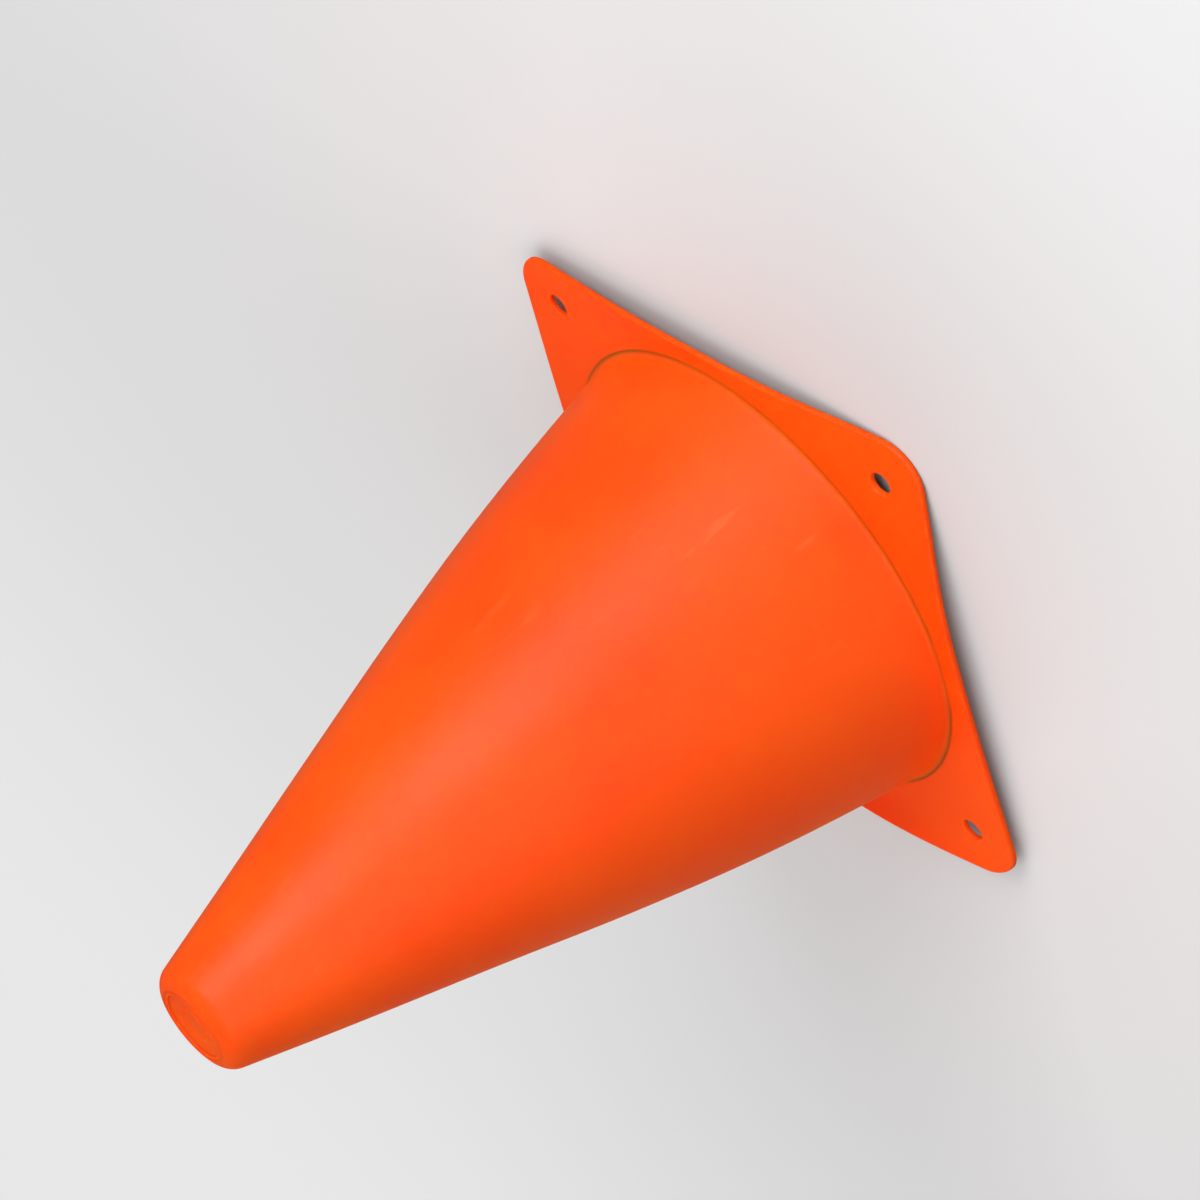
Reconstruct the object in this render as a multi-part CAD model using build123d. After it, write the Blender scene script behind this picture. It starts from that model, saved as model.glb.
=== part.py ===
from build123d import *
import os
from math import atan2, cos, degrees, pi, sin, sqrt, tan

# Small traffic cone in soft plastic, of the size that marks out a playing area or a wet floor.
# A hollow, bell-footed cone stands on a thin square flange with a hole near each corner.
# Millimetres. +Z runs up the axis to the tip. The origin is the centre of the flange's underside.

# ---- overall ----
overall_height = 180.0  # flange underside to the tip's land
base_width = 136.0  # across the flats of the square flange

# ---- square flange ----
flange_thickness = 1.6
flange_corner_radius = 11.0
flange_rim_round = 0.6  # rounding along the upper rim
flange_underside_round = 0.4  # rounding along the lower rim
flange_margin = 7.0  # flange left beside the cone at the middle of each side

# ---- corner holes ----
hole_diameter = 5.8
hole_inset = 12.4  # hole centre in from each of its two sides
hole_lip_round = 0.45  # softened lip on the upper face
hole_exit_round = 0.3  # softened edge on the underside

# ---- cone wall ----
wall = 1.4
straight_from = 100.0  # above this height the wall is a straight taper
foot_tuck = 5.8  # how far the foot is drawn in from the line of that taper
foot_fillet = 1.5  # radius in the corner between cone and flange
mouth_round = 1.0  # rounding where the hollow opens through the underside

# ---- tip ----
tip_diameter = 26.4  # across the tip, measured to the corner before it is rounded
tip_round = 5.2
land_width = 0.65  # flat ring left between the disc and the rounding
groove_set_out = 0.25  # middle of the ring groove, out from where the rounding starts
groove_width = 0.8
groove_depth = 0.3
disc_thickness = 1.4
disc_recess = 0.5  # disc face below the land around it
disc_dish = 0.35  # extra depth at the middle of the disc

# ---- cutting allowance ----
overrun = 1.0  # how far a cutting tool passes a face


# ---- outline shared by the cone's outside and its hollow ----
foot_radius = base_width / 2 - flange_margin
tip_radius = tip_diameter / 2
tip_wall = disc_recess + disc_thickness
ceiling_height = overall_height - tip_wall
taper = atan2(foot_radius + foot_tuck - tip_radius, overall_height - flange_thickness)
outward = (cos(taper), sin(taper))  # square to the straight taper, as (radius, height)
down = (sin(taper), -cos(taper))  # along the straight taper, towards the foot
land_radius = tip_radius - tip_round * tan((pi / 2 - taper) / 2)  # where the rounding starts
disc_radius = land_radius - land_width
groove_radius = land_radius + groove_set_out


def taper_radius(height, inset=0.0):
    """Radius of the straight taper, or of a line set in from it by the given wall."""
    return tip_radius + (overall_height - height) * tan(taper) - inset / cos(taper)


def bend_point(inset=0.0):
    """Where the straight taper runs into the arc of the bell foot."""
    radius = taper_radius(straight_from) - inset * outward[0]
    return (radius, straight_from - inset * outward[1])


# The bell foot is one arc, tangent to the taper at the bend and passing through the foot.
bend_to_foot = (foot_radius - bend_point()[0], flange_thickness - bend_point()[1])
square_of_chord = bend_to_foot[0] ** 2 + bend_to_foot[1] ** 2
lean = bend_to_foot[0] * outward[0] + bend_to_foot[1] * outward[1]
bell_radius = -square_of_chord / (2 * lean)
bell_centre = (
    bend_point()[0] - bell_radius * outward[0],
    bend_point()[1] - bell_radius * outward[1],
)


def bell_point(height, inset=0.0):
    """A point of the bell's arc, or of one set in from it, at the given height."""
    reach = sqrt((bell_radius - inset) ** 2 - (height - bell_centre[1]) ** 2)
    return (bell_centre[0] + reach, height)


def blend_to_bell(height, inset, radius):
    """Arc that rounds a level face at the given height into the bell's arc above it."""
    centre = bell_point(height + radius, inset - radius)
    share = radius / (bell_radius - inset + radius)
    start = (centre[0], height)
    end = (
        centre[0] - (centre[0] - bell_centre[0]) * share,
        centre[1] - (centre[1] - bell_centre[1]) * share,
    )
    return start, end


def round_corner(face, corner, radius):
    """Round the one corner of a flat outline that lies at the given point."""
    return fillet(face.vertices().sort_by_distance(Vector(*corner))[0], radius)


def spin(outline):
    """Turn an outline drawn as (radius, height) into a solid about the axis."""
    return revolve(Plane.XZ * outline, Axis.Z)


def cone_outside():
    """The cone's outer form: foot fillet, bell, straight taper and rounded tip."""
    foot_edge, foot_top = blend_to_bell(flange_thickness, 0, foot_fillet)
    tip_corner = (tip_radius, overall_height)
    outline = make_face([
        Line((0, flange_thickness), foot_edge),
        TangentArc(foot_edge, foot_top, tangent=(-1, 0)),
        TangentArc(bend_point(), foot_top, tangent=down),
        Line(bend_point(), tip_corner),
        Line(tip_corner, (0, overall_height)),
        Line((0, overall_height), (0, flange_thickness)),
    ])
    return spin(round_corner(outline, tip_corner, tip_round))


def hollow():
    """The space inside the cone, open through the flange, one wall in from the outside."""
    mouth_edge, mouth_top = blend_to_bell(0, wall, mouth_round)
    below_edge = (mouth_edge[0], -overrun)
    ceiling_corner = (taper_radius(ceiling_height, wall), ceiling_height)
    outline = make_face([
        Line((0, -overrun), below_edge),
        Line(below_edge, mouth_edge),
        TangentArc(mouth_edge, mouth_top, tangent=(-1, 0)),
        TangentArc(bend_point(wall), mouth_top, tangent=down),
        Line(bend_point(wall), ceiling_corner),
        Line(ceiling_corner, (0, ceiling_height)),
        Line((0, ceiling_height), (0, -overrun)),
    ])
    return spin(round_corner(outline, ceiling_corner, tip_round - wall))


def make_base_flange():
    """Square plate with rounded corners, the cone's mouth and a hole near each corner."""
    side = base_width
    plate = extrude(RectangleRounded(side, side, flange_corner_radius), flange_thickness)
    plate = fillet(plate.edges().group_by(Axis.Z)[-1], flange_rim_round)
    plate = fillet(plate.edges().group_by(Axis.Z)[0], flange_underside_round)
    plate -= hollow()
    spacing = base_width - 2 * hole_inset
    drill = Cylinder(hole_diameter / 2, flange_thickness + 2 * overrun)
    for place in GridLocations(spacing, spacing, 2, 2):
        plate -= place * Pos(0, 0, flange_thickness / 2) * drill
    rims = plate.edges().filter_by(GeomType.CIRCLE).filter_by(
        lambda edge: abs(edge.radius - hole_diameter / 2) < 1e-6
    )
    plate = fillet(rims.group_by(Axis.Z)[-1], hole_lip_round)
    rims = plate.edges().filter_by(GeomType.CIRCLE).filter_by(
        lambda edge: abs(edge.radius - hole_diameter / 2) < 1e-6
    )
    return fillet(rims.group_by(Axis.Z)[0], hole_exit_round)


def make_cone_body():
    """Bell-footed cone wall, with the seat for the tip disc and the ring groove round it."""
    body = cone_outside() - hollow()
    seat = Cylinder(disc_radius, tip_wall + 2 * overrun)
    body -= Pos(0, 0, overall_height - tip_wall / 2) * seat
    half_groove = groove_width / 2
    groove = Polygon(
        (groove_radius - half_groove, overall_height),
        (groove_radius, overall_height - groove_depth),
        (groove_radius + half_groove, overall_height),
        align=None,
    )
    return body - spin(groove)


def make_tip_disc():
    """Shallow dished disc that closes the tip, set a little below the land around it."""
    face_height = overall_height - disc_recess
    rim_foot = (disc_radius, ceiling_height)
    rim_top = (disc_radius, face_height)
    dish_bottom = (0, face_height - disc_dish)
    outline = make_face([
        Line((0, ceiling_height), rim_foot),
        Line(rim_foot, rim_top),
        TangentArc(dish_bottom, rim_top, tangent=(1, 0)),
        Line(dish_bottom, (0, ceiling_height)),
    ])
    return spin(outline)


nodes = {
    "base_flange": make_base_flange,
    "cone_body": make_cone_body,
    "tip_disc": make_tip_disc,
}

os.makedirs("parts", exist_ok=True)
for name, make in nodes.items():
    export_step(make(), f"parts/{name}.step")
print(f"taper {degrees(taper):.2f} degrees, bell radius {bell_radius:.1f} mm")
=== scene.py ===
import math

import bmesh
import bpy
import numpy as np
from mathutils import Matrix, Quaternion, Vector, geometry, noise


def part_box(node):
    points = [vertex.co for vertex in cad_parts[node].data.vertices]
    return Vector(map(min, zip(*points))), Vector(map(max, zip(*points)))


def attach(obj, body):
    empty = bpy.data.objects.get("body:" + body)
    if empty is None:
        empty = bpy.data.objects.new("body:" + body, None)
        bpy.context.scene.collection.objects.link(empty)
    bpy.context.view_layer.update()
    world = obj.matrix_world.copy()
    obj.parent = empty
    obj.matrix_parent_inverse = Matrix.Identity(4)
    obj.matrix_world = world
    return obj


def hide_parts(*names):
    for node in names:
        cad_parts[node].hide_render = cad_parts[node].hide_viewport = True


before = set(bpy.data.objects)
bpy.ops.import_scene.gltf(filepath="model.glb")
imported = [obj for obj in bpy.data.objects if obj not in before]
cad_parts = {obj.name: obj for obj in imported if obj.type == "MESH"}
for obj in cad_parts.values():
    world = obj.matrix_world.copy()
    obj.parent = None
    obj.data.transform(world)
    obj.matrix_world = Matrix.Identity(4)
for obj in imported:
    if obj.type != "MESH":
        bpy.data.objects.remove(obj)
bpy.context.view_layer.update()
MM = 0.001


# ---- camera ----
# A long lens looks down on the cone over one corner of the flange, rolled well over, so that
# the tip points down and to the left and the flange stands at the upper right.
camera_azimuth = math.radians(45.3)
camera_elevation = math.radians(21.5)
camera_roll = math.radians(-128.4)
camera_distance = 1.398
camera_aim = Vector((12.8, 13.0, 39.0)) * MM

towards_camera = Vector((
    math.sin(camera_azimuth) * math.cos(camera_elevation),
    -math.cos(camera_azimuth) * math.cos(camera_elevation),
    math.sin(camera_elevation),
))
camera_data = bpy.data.cameras.new("camera")
camera_data.lens = 180.0
camera_data.sensor_width = 36.0
camera_data.clip_end = 40.0
camera = bpy.data.objects.new("camera", camera_data)
camera.location = camera_aim + towards_camera * camera_distance
camera.rotation_mode = "QUATERNION"
level = (-towards_camera).to_track_quat("-Z", "Y")
camera.rotation_quaternion = level @ Quaternion((0, 0, 1), camera_roll)
bpy.context.collection.objects.link(camera)
bpy.context.scene.camera = camera


# ---- base flange ----
# A thin square plate with big rounded corners, moulded in one shot with the cone in soft
# low-density polyethylene. Each corner has a fixing hole with a softened lip, and the corners
# have curled a little since it left the mould.
_, flange_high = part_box("base_flange")
_, cone_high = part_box("cone_body")
disc_low, disc_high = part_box("tip_disc")

half_width = flange_high.x
flange_top = flange_high.z
corner_radius = 11.0 * MM
rim_round = 0.6 * MM  # rounding along the upper rim
underside_round = 0.4 * MM
hole_radius = 2.9 * MM
hole_inset = 12.4 * MM  # hole centre in from each of its two sides
hole_lip_round = 0.45 * MM
hole_exit_round = 0.3 * MM
sheet_pitch = 1.7 * MM  # spacing of the points that the plate's two faces are made of
row_spacing = 0.92  # of the pitch, from one row of those points to the next
clearance = 0.6  # of the pitch, kept free of points beside a rim
smallest_face = 0.001 * MM * MM  # slivers below this, along the straight rims, are left out

# Outline of the cone's wall, which the flange's mouth follows too.
wall = 1.4 * MM
overall_height = cone_high.z
straight_from = 100.0 * MM  # above this height the wall is a straight taper
foot_tuck = 5.8 * MM  # how far the foot is drawn in from the line of that taper
foot_fillet = 1.5 * MM
flange_margin = 7.0 * MM  # flange left outside the cone's foot, at the middle of a side
foot_radius = half_width - flange_margin
mouth_round = 1.0 * MM
tip_radius = 13.2 * MM  # to the corner before it is rounded
tip_round = 5.2 * MM

taper = math.atan2(foot_radius + foot_tuck - tip_radius, overall_height - flange_top)
outward = Vector((math.cos(taper), math.sin(taper)))


def taper_radius(height, inset=0.0):
    """Radius of the straight taper at a height, set in by a wall."""
    run = (overall_height - height) * math.tan(taper)
    return tip_radius + run - inset / math.cos(taper)


bend = Vector((taper_radius(straight_from), straight_from))
to_foot = Vector((foot_radius, flange_top)) - bend
bell_radius = -to_foot.length_squared / (2 * to_foot.dot(outward))
bell_centre = bend - bell_radius * outward


def bell_point(height, inset=0.0):
    """Point of the bell's arc at a height, set in by a wall, as (radius, height)."""
    reach = math.sqrt((bell_radius - inset) ** 2 - (height - bell_centre.y) ** 2)
    return Vector((bell_centre.x + reach, height))


def arc(centre, radius, start, end, steps):
    """Points along an arc, with its angles in degrees from straight outward."""
    angles = [math.radians(start + (end - start) * i / steps) for i in range(steps + 1)]
    return [centre + radius * Vector((math.cos(a), math.sin(a))) for a in angles]


def blend_to_bell(height, inset, radius, steps):
    """Arc that rounds a level face into the bell above it, from the face upwards."""
    centre = bell_point(height + radius, inset - radius)
    to_bell = bell_centre - centre
    turn = math.degrees(math.atan2(to_bell.y, to_bell.x))
    return arc(centre, radius, 270.0, turn % 360.0, steps)


def rounded_square(half, radius, pitch, corner_steps):
    """Closed outline of a square with rounded corners, anticlockwise."""
    straight = half - radius
    steps = max(2, round(2 * (half_width - corner_radius) / pitch))
    points = []
    for quarter in range(4):
        turn = Quaternion((0, 0, 1), quarter * math.pi / 2)
        for i in range(steps):
            points.append(turn @ Vector((half, -straight + 2 * straight * i / steps, 0)))
        for i in range(corner_steps):
            angle = i / corner_steps * math.pi / 2
            reach = Vector((math.cos(angle), math.sin(angle), 0)) * radius
            points.append(turn @ (Vector((straight, straight, 0)) + reach))
    return points


def ring(radius, steps, centre=Vector((0, 0, 0))):
    """Points round a level circle, anticlockwise."""
    turns = [2 * math.pi * i / steps for i in range(steps)]
    return [centre + radius * Vector((math.cos(a), math.sin(a), 0)) for a in turns]


def add_loop(mesh, points, height):
    """Add a loop of points at one height and return its vertices."""
    return [mesh.verts.new((p.x, p.y, height)) for p in points]


def bridge(mesh, lower, upper):
    """Join two loops that have as many points with a band of four-sided faces."""
    count = len(lower)
    for i in range(count):
        j = (i + 1) % count
        mesh.faces.new((lower[i], lower[j], upper[j], upper[i]))


def fill_sheet(mesh, rim, openings, height, pitch):
    """Fill the space between an outer loop and its openings with an even net of triangles.

    Each opening is its loop of vertices, its centre and its radius.
    """
    loops = [rim] + [loop for loop, _, _ in openings]
    points = [v.co.xy for loop in loops for v in loop]
    verts = [v for loop in loops for v in loop]
    edges = []
    start = 0
    for loop in loops:
        count = len(loop)
        edges += [(start + i, start + (i + 1) % count) for i in range(count)]
        start += count
    reach = max(p.x for p in points)
    rows = int(reach / pitch)
    clear = clearance * pitch
    fixed = np.array([tuple(p) for p in points])
    for row in range(-rows, rows + 1):
        for column in range(-rows, rows + 1):
            spot = Vector(((column + 0.5 * (row % 2)) * pitch, row * pitch * row_spacing))
            folded = Vector((abs(spot.x), abs(spot.y)))
            if max(folded) > reach - clear:
                continue
            corner = folded - Vector((1, 1)) * (reach - corner_radius)
            if min(corner) > 0 and corner.length > corner_radius - clear:
                continue
            if any((spot - centre.xy).length < radius + clear for _, centre, radius in openings):
                continue
            if np.min(np.hypot(fixed[:, 0] - spot.x, fixed[:, 1] - spot.y)) < clear:
                continue
            points.append(spot)
            verts.append(mesh.verts.new((spot.x, spot.y, height)))
    whole_net = 0
    merge_distance = 1e-9
    net = geometry.delaunay_2d_cdt(points, edges, [], whole_net, merge_distance)
    places, _, triangles, origins, _, _ = net
    for triangle in triangles:
        corners = [places[i] for i in triangle]
        middle = sum(corners, Vector((0, 0))) / 3
        if any((middle - centre.xy).length < radius for _, centre, radius in openings):
            continue
        if geometry.area_tri(*corners) < smallest_face:
            continue
        mesh.faces.new([verts[origins[i][0]] for i in triangle])


# How the soft flange has curled: a lift for each corner and each side, in order round the plate
# from the corner nearest the camera, and a skew that moves a side's lift towards one end.
corner_curl = [-3.5 * MM, -0.7 * MM, 0.0 * MM, -1.1 * MM]
side_bow = [0.7 * MM, 0.3 * MM, 3.0 * MM, 0.7 * MM]
side_skew = [-0.4 * MM, 0.0 * MM, -1.0 * MM, -0.2 * MM]
curl_focus = 1.6  # how closely a curl keeps to its corner


def rim_lift(x, y):
    """Lift of the plate's rim in the direction of a point, in metres."""
    reach = max(abs(x), abs(y))
    u, v = x / reach, y / reach
    if u >= 1.0:
        along = (v + 1) / 2
    elif v >= 1.0:
        along = 1 + (1 - u) / 2
    elif u <= -1.0:
        along = 2 + (1 - v) / 2
    else:
        along = 3 + (u + 1) / 2
    lift = 0.0
    for corner, most in enumerate(corner_curl):
        away = abs((along - corner + 2) % 4 - 2)
        if away < 0.5:
            lift += most * (0.5 + 0.5 * math.cos(2 * math.pi * away)) ** curl_focus
    side = int(along) % 4
    part = along - int(along)
    lift += side_bow[side] * math.sin(math.pi * part)
    return lift + side_skew[side] * math.sin(2 * math.pi * part)


def curl(point):
    """Bend a point of the flange as a thin plate that is held where the cone meets it."""
    x, y = point.x, point.y
    radius = math.hypot(x, y)
    if radius <= cone_high.x:
        return point
    straight = half_width - corner_radius
    along = Vector((abs(x), abs(y))) / radius
    edge = half_width / max(along)
    if min(along) * edge > straight:
        middle = along.dot(Vector((straight, straight)))
        edge = middle + math.sqrt(middle ** 2 - 2 * straight ** 2 + corner_radius ** 2)
    share = min(1.0, (radius - cone_high.x) / (edge - cone_high.x))
    bent = share * share * (3 - share) / 2
    return Vector((x, y, point.z + rim_lift(x, y) * bent))


def make_flange():
    """Build the plate: two faces, rounded rims and the walls of the mouth and the holes."""
    mesh = bmesh.new()
    inner = bell_point(flange_top, wall).x
    mouth = blend_to_bell(0.0, wall, mouth_round, steps=6)
    mouth_steps = 200
    corner_steps = 18
    hole_steps = 48
    upper_turns = np.linspace(0, math.pi / 2, 7)
    lower_turns = np.linspace(0, math.pi / 2, 6)
    rim_rows = []
    for a in upper_turns:
        inset = rim_round - rim_round * math.sin(a)
        rim_rows.append((inset, flange_top - rim_round + rim_round * math.cos(a)))
    for a in lower_turns:
        inset = underside_round - underside_round * math.cos(a)
        rim_rows.append((inset, underside_round - underside_round * math.sin(a)))
    rim = []
    for inset, height in rim_rows:
        half, radius = half_width - inset, corner_radius - inset
        outline = rounded_square(half, radius, sheet_pitch, corner_steps)
        rim.append(add_loop(mesh, outline, height))
    for upper, lower in zip(rim, rim[1:]):
        bridge(mesh, lower, upper)
    mouth_rows = [add_loop(mesh, ring(p.x, mouth_steps), p.y) for p in mouth]
    mouth_rows.append(add_loop(mesh, ring(inner, mouth_steps), flange_top))
    for lower, upper in zip(mouth_rows, mouth_rows[1:]):
        bridge(mesh, upper, lower)
    top_openings = [(mouth_rows[-1], Vector((0, 0)), inner)]
    bottom_openings = [(mouth_rows[0], Vector((0, 0)), mouth[0].x)]
    hole_rows = []
    for a in upper_turns:
        out = hole_lip_round * (1 - math.sin(a))
        hole_rows.append((out, flange_top - hole_lip_round * (1 - math.cos(a))))
    for a in lower_turns:
        out = hole_exit_round * (1 - math.cos(a))
        hole_rows.append((out, hole_exit_round * (1 - math.sin(a))))
    offset = half_width - hole_inset
    for sx, sy in ((1, -1), (1, 1), (-1, 1), (-1, -1)):
        centre = Vector((sx * offset, sy * offset, 0))
        loops = []
        for out, height in hole_rows:
            loops.append(add_loop(mesh, ring(hole_radius + out, hole_steps, centre), height))
        for upper, lower in zip(loops, loops[1:]):
            bridge(mesh, upper, lower)
        top_openings.append((loops[0], centre, hole_radius + hole_lip_round))
        bottom_openings.append((loops[-1], centre, hole_radius + hole_exit_round))
    fill_sheet(mesh, rim[0], top_openings, flange_top, sheet_pitch)
    fill_sheet(mesh, rim[-1], bottom_openings, 0.0, sheet_pitch)
    for vert in mesh.verts:
        vert.co = curl(vert.co)
    return mesh


def finish_mesh(mesh, name, material):
    """Turn a built mesh into a smooth-shaded object that rides on the cone's one body."""
    bmesh.ops.recalc_face_normals(mesh, faces=mesh.faces)
    # The foot's feather edge can mislead that, but a skin that faces outward has a positive volume.
    if mesh.calc_volume(signed=True) < 0:
        bmesh.ops.reverse_faces(mesh, faces=mesh.faces)
    sharp = math.radians(40)
    for edge in mesh.edges:
        edge.smooth = not (len(edge.link_faces) == 2 and edge.calc_face_angle() > sharp)
    for face in mesh.faces:
        face.smooth = True
    data = bpy.data.meshes.new(name)
    mesh.to_mesh(data)
    mesh.free()
    data.materials.append(material)
    piece = bpy.data.objects.new(name, data)
    bpy.context.collection.objects.link(piece)
    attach(piece, "root")
    return piece


base_orange = (0.97, 0.070, 0.0003, 1.0)
warm_orange = (0.98, 0.090, 0.0006, 1.0)
scuff_orange = (1.0, 0.22, 0.05, 1.0)


def orange_polyethylene(name):
    """Soft orange plastic, coloured right through, with the satin skin that a mould leaves."""
    material = bpy.data.materials.new(name)
    material.use_nodes = True
    nodes, links = material.node_tree.nodes, material.node_tree.links
    shader = nodes["Principled BSDF"]
    shader.inputs["IOR"].default_value = 1.5
    shader.inputs["Specular IOR Level"].default_value = 0.2
    shader.inputs["Subsurface Weight"].default_value = 0.8
    shader.inputs["Subsurface Radius"].default_value = (1.0, 0.1, 0.02)
    shader.inputs["Subsurface Scale"].default_value = 1.5 * MM
    place = nodes.new("ShaderNodeTexCoord")

    def grain(scale, detail, stretch=(1, 1, 1), turn=(0, 0, 0)):
        """A noise pattern of the given fineness, drawn out and turned where asked."""
        mapping = nodes.new("ShaderNodeMapping")
        mapping.inputs["Scale"].default_value = stretch
        mapping.inputs["Rotation"].default_value = turn
        links.new(place.outputs["Object"], mapping.inputs["Vector"])
        texture = nodes.new("ShaderNodeTexNoise")
        texture.inputs["Scale"].default_value = scale
        texture.inputs["Detail"].default_value = detail
        links.new(mapping.outputs["Vector"], texture.inputs["Vector"])
        return texture.outputs["Fac"]

    def spread(source, low, high, to_low=0.0, to_high=1.0):
        """Map a stretch of a pattern's values on to another stretch."""
        mapped = nodes.new("ShaderNodeMapRange")
        mapped.inputs["From Min"].default_value = low
        mapped.inputs["From Max"].default_value = high
        mapped.inputs["To Min"].default_value = to_low
        mapped.inputs["To Max"].default_value = to_high
        links.new(source, mapped.inputs["Value"])
        return mapped.outputs["Result"]

    def blend_colour(factor, first, second):
        """Mix two colours, of which the first may be another mix."""
        mix = nodes.new("ShaderNodeMix")
        mix.data_type = "RGBA"
        links.new(factor, mix.inputs["Factor"])
        if isinstance(first, tuple):
            mix.inputs["A"].default_value = first
        else:
            links.new(first, mix.inputs["A"])
        mix.inputs["B"].default_value = second
        return mix.outputs["Result"]

    # Cloudy colour from the pigment, and pale hairline scuffs that come in patches.
    cloud = spread(grain(scale=22.0, detail=3.0), low=0.35, high=0.65)
    patches = spread(grain(scale=16.0, detail=1.0), low=0.52, high=0.66)
    streaks = grain(scale=260.0, detail=4.0, stretch=(1, 1, 0.12), turn=(0.5, 0.9, 0.3))
    hairs = spread(streaks, low=0.63, high=0.72)
    scuffs = nodes.new("ShaderNodeMath")
    scuffs.operation = "MULTIPLY"
    links.new(patches, scuffs.inputs[0])
    links.new(hairs, scuffs.inputs[1])
    faint = spread(scuffs.outputs["Value"], low=0.0, high=1.0, to_high=0.22)
    colour = blend_colour(cloud, base_orange, warm_orange)
    colour = blend_colour(faint, colour, scuff_orange)
    links.new(colour, shader.inputs["Base Color"])
    rough = spread(grain(scale=45.0, detail=4.0), low=0.3, high=0.7, to_low=0.42, to_high=0.54)
    links.new(rough, shader.inputs["Roughness"])

    # The skin: a soft waviness, a fine orange-peel grain and the scuffs' own relief.
    waviness = grain(scale=70.0, detail=2.0)
    orange_peel = grain(scale=700.0, detail=3.0)
    relief = (
        (waviness, 0.12 * MM),
        (orange_peel, 0.012 * MM),
        (scuffs.outputs["Value"], 0.01 * MM),
    )
    normal = None
    for source, depth in relief:
        bump = nodes.new("ShaderNodeBump")
        bump.inputs["Strength"].default_value = 1.0
        bump.inputs["Distance"].default_value = depth
        links.new(source, bump.inputs["Height"])
        if normal is not None:
            links.new(normal, bump.inputs["Normal"])
        normal = bump.outputs["Normal"]
    links.new(normal, shader.inputs["Normal"])
    return material


plastic = orange_polyethylene("orange_polyethylene")
flange = finish_mesh(make_flange(), "flange_plate", plastic)
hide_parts("base_flange")


# ---- cone body ----
# The hollow cone: a bell foot that runs into a straight taper and a rounded tip, all in one
# even wall. A fine fillet joins it to the flange and a ring groove runs round the tip's land.
land_radius = tip_radius - tip_round * math.tan((math.pi / 2 - taper) / 2)
groove_set_out = 0.25 * MM
groove_width = 0.8 * MM
groove_depth = 0.3 * MM
groove_floor = 0.1 * MM  # half the width of its flat bottom
groove_lip = 0.12 * MM  # breadth of the softened edges beside it and at the disc's seat
disc_radius = disc_high.x
ceiling_height = disc_low.z
turns_round = 240
bell_rows = 34
taper_rows = 24
round_end = 84.0  # degrees up from straight outward, where the tip's rounding gives way to the lip


def cone_outline():
    """Closed outline of the wall as (radius, height), from the foot up and back down inside."""
    outline = blend_to_bell(flange_top, 0.0, foot_fillet, steps=8)
    low = outline[-1].y
    for i in range(1, bell_rows + 1):
        outline.append(bell_point(low + (straight_from - low) * i / bell_rows))
    tip_centre = Vector((land_radius, overall_height - tip_round))
    round_from = math.degrees(taper)
    round_start = tip_centre + tip_round * outward
    for i in range(1, taper_rows):
        height = straight_from + (round_start.y - straight_from) * i / taper_rows
        outline.append(Vector((taper_radius(height), height)))
    outline += arc(tip_centre, tip_round, round_from, round_end, steps=14)
    groove = land_radius + groove_set_out
    outer_edge = groove + groove_width / 2
    inner_edge = groove - groove_width / 2
    below_land = (
        (outer_edge + groove_lip, 0.02 * MM),
        (outer_edge, 0.05 * MM),
        (groove + groove_floor, groove_depth),
        (groove - groove_floor, groove_depth),
        (inner_edge, 0.04 * MM),
        (inner_edge - groove_lip, 0.0),
        (disc_radius + groove_lip, 0.0),
        (disc_radius, groove_lip),
    )
    outline += [Vector((radius, overall_height - drop)) for radius, drop in below_land]
    outline.append(Vector((disc_radius, ceiling_height)))
    inner_round = tip_round - wall
    ceiling_edge = taper_radius(ceiling_height, wall)
    set_in = inner_round * math.tan((math.pi / 2 - taper) / 2)
    inner_centre = Vector((ceiling_edge - set_in, ceiling_height - inner_round))
    outline += arc(inner_centre, inner_round, 90.0, round_from, steps=8)
    low_inner = bend.y - wall * outward.y
    top_inner = outline[-1].y
    for i in range(1, taper_rows + 1):
        height = top_inner + (low_inner - top_inner) * i / taper_rows
        outline.append(Vector((taper_radius(height, wall), height)))
    for i in range(1, bell_rows + 1):
        outline.append(bell_point(low_inner + (flange_top - low_inner) * i / bell_rows, wall))
    return outline


def spin_closed(mesh, outline, steps):
    """Spin a closed outline into a tube-like skin."""
    loops = [add_loop(mesh, ring(p.x, steps), p.y) for p in outline]
    for lower, upper in zip(loops, loops[1:] + loops[:1]):
        bridge(mesh, lower, upper)


ripple_depth = 0.55 * MM  # the wall strays from a true cone by about 0.3 mm out and 0.4 mm in
ripple_length = 34.0 * MM
ripple_stretch = 0.45  # below one, a ripple is longer up the wall than round it
ripple_hold = 0.7  # below one, the ripple fades out close to the two ends


def settle(point):
    """Let the soft wall stray gently from a true cone, but not where the other pieces meet it."""
    share = (point.z - flange_top) / (overall_height - flange_top)
    hold = math.sin(math.pi * min(1.0, max(0.0, share))) ** ripple_hold
    stray = noise.noise(Vector((point.x, point.y, ripple_stretch * point.z)) / ripple_length)
    side = Vector((point.x, point.y, 0)).normalized()
    return point + side * stray * hold * ripple_depth


cone_mesh = bmesh.new()
spin_closed(cone_mesh, cone_outline(), turns_round)
for vert in cone_mesh.verts:
    vert.co = settle(vert.co)
cone = finish_mesh(cone_mesh, "cone_shell", plastic)
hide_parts("cone_body")


# ---- tip disc ----
# The small dished disc that closes the tip, sunk a little below the land around it. A plain
# raised ring stands on it where the mould's maker would put a mark.
disc_face = disc_high.z
disc_dish = 0.35 * MM
mark_radius = 4.6 * MM
mark_width = 0.7 * MM
mark_height = 0.4 * MM
disc_rows = 26
disc_steps = 96


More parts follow.
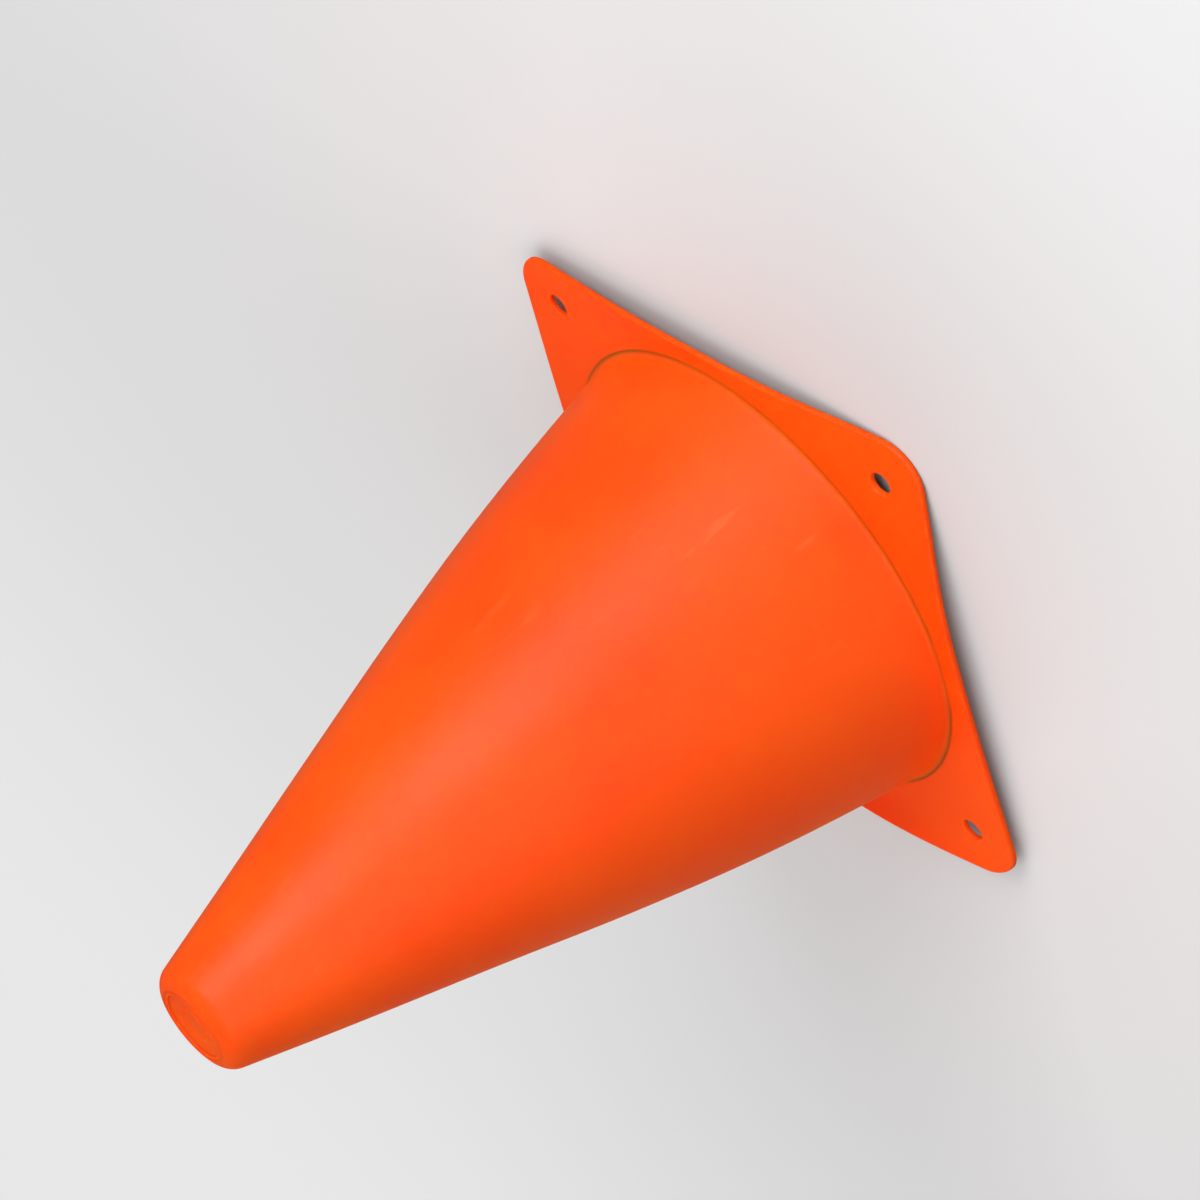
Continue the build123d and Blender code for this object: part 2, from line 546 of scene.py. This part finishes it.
def disc_outline():
    """Half outline of the disc as (radius, height), from the centre of its face round to below."""
    outline = []
    for i in range(1, disc_rows + 1):
        radius = disc_radius * i / disc_rows
        height = disc_face - disc_dish * (1 - (radius / disc_radius) ** 2)
        off = abs(radius - mark_radius) / mark_width
        if off < 1:
            height += mark_height * (0.5 + 0.5 * math.cos(math.pi * off))
        outline.append(Vector((radius, height)))
    outline.append(Vector((disc_radius, ceiling_height)))
    return outline


disc_mesh = bmesh.new()
disc_loops = [add_loop(disc_mesh, ring(p.x, disc_steps), p.y) for p in disc_outline()]
for first, second in zip(disc_loops, disc_loops[1:]):
    bridge(disc_mesh, second, first)
for loop, height in ((disc_loops[0], disc_face - disc_dish), (disc_loops[-1], ceiling_height)):
    hub = disc_mesh.verts.new((0, 0, height))
    for i in range(disc_steps):
        disc_mesh.faces.new((loop[i], loop[(i + 1) % disc_steps], hub))
disc = finish_mesh(disc_mesh, "tip_cap", plastic)
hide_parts("tip_disc")


# ---- floor and light ----
# A plain pale studio floor just under the lowest corner of the curled flange, and three square
# soft lamps: one low at the cone's right, one behind it and one in front.
floor_gap = 0.05 * MM
floor_radius = 12.0
floor_height = min(v.co.z for v in flange.data.vertices) - floor_gap
floor_mesh = bmesh.new()
bmesh.ops.create_circle(floor_mesh, cap_ends=True, segments=96, radius=floor_radius)
floor_data = bpy.data.meshes.new("floor")
floor_mesh.to_mesh(floor_data)
floor_mesh.free()
floor = bpy.data.objects.new("floor", floor_data)
floor.location.z = floor_height
bpy.context.collection.objects.link(floor)
floor_paint = bpy.data.materials.new("floor_paint")
floor_paint.use_nodes = True
paint_nodes, paint_links = floor_paint.node_tree.nodes, floor_paint.node_tree.links
paint = paint_nodes["Principled BSDF"]
paint.inputs["Roughness"].default_value = 0.9

# The floor is seen pale, but throws less light than that up on to the cone.
seen = paint_nodes.new("ShaderNodeLightPath")
tone = paint_nodes.new("ShaderNodeMix")
tone.data_type = "RGBA"
tone.inputs["A"].default_value = (0.2, 0.2, 0.2, 1)
tone.inputs["B"].default_value = (0.68, 0.68, 0.68, 1)
paint_links.new(seen.outputs["Is Camera Ray"], tone.inputs["Factor"])
paint_links.new(tone.outputs["Result"], paint.inputs["Base Color"])
floor_data.materials.append(floor_paint)

# Away from the cone the floor fades into the same pale tone as the backdrop.
pale_level = 0.8
fade_start = 0.25
fade_end = 0.8
spot = paint_nodes.new("ShaderNodeTexCoord")
far = paint_nodes.new("ShaderNodeVectorMath")
far.operation = "LENGTH"
paint_links.new(spot.outputs["Object"], far.inputs[0])
fade = paint_nodes.new("ShaderNodeMapRange")
fade.interpolation_type = "SMOOTHSTEP"
fade.inputs["From Min"].default_value = fade_start
fade.inputs["From Max"].default_value = fade_end
paint_links.new(far.outputs["Value"], fade.inputs["Value"])
shown = paint_nodes.new("ShaderNodeMath")
shown.operation = "MULTIPLY"
paint_links.new(fade.outputs["Result"], shown.inputs[0])
paint_links.new(seen.outputs["Is Camera Ray"], shown.inputs[1])
glow = paint_nodes.new("ShaderNodeEmission")
glow.inputs["Strength"].default_value = pale_level
join = paint_nodes.new("ShaderNodeMixShader")
paint_links.new(shown.outputs["Value"], join.inputs["Fac"])
paint_links.new(paint.outputs["BSDF"], join.inputs[1])
paint_links.new(glow.outputs["Emission"], join.inputs[2])
paint_links.new(join.outputs["Shader"], paint_nodes["Material Output"].inputs["Surface"])

# The backdrop's light: how strongly it lights the cone, and how strongly it mirrors in it.
light_level = 0.55
mirror_level = 0.12
world = bpy.data.worlds.new("studio")
world.use_nodes = True
bpy.context.scene.world = world
world_nodes, world_links = world.node_tree.nodes, world.node_tree.links
sky = world_nodes["Background"]
sky.inputs["Color"].default_value = (1, 1, 1, 1)
ray = world_nodes.new("ShaderNodeLightPath")
level_of = world_nodes.new("ShaderNodeMix")
level_of.inputs["A"].default_value = light_level
level_of.inputs["B"].default_value = pale_level
world_links.new(ray.outputs["Is Camera Ray"], level_of.inputs["Factor"])
gloss = world_nodes.new("ShaderNodeMix")
gloss.inputs["B"].default_value = mirror_level
world_links.new(ray.outputs["Is Glossy Ray"], gloss.inputs["Factor"])
world_links.new(level_of.outputs["Result"], gloss.inputs["A"])
world_links.new(gloss.outputs["Result"], sky.inputs["Strength"])


lamp_aim = Vector((0, 0, 80.0)) * MM


def soft_lamp(name, azimuth, elevation, distance, size, power, mirrored=True):
    """A square soft lamp that faces the cone from the given side, in degrees and metres."""
    azimuth, elevation = math.radians(azimuth), math.radians(elevation)
    side = Vector((
        math.sin(azimuth) * math.cos(elevation),
        -math.cos(azimuth) * math.cos(elevation),
        math.sin(elevation),
    ))
    lamp_data = bpy.data.lights.new(name, "AREA")
    lamp_data.shape = "SQUARE"
    lamp_data.size = size
    lamp_data.energy = power
    lamp = bpy.data.objects.new(name, lamp_data)
    lamp.location = lamp_aim + side * distance
    lamp.rotation_euler = (-side).to_track_quat("-Z", "Y").to_euler()
    lamp.visible_camera = False
    lamp.visible_glossy = mirrored
    bpy.context.collection.objects.link(lamp)


soft_lamp("key", azimuth=78.0, elevation=17.0, distance=1.2, size=0.8, power=13.0)
soft_lamp("back", azimuth=235.0, elevation=28.0, distance=1.4, size=1.1, power=9.0, mirrored=False)
soft_lamp("front", azimuth=15.0, elevation=28.0, distance=1.4, size=1.1, power=7.0)

bpy.context.scene.view_settings.view_transform = "Standard"
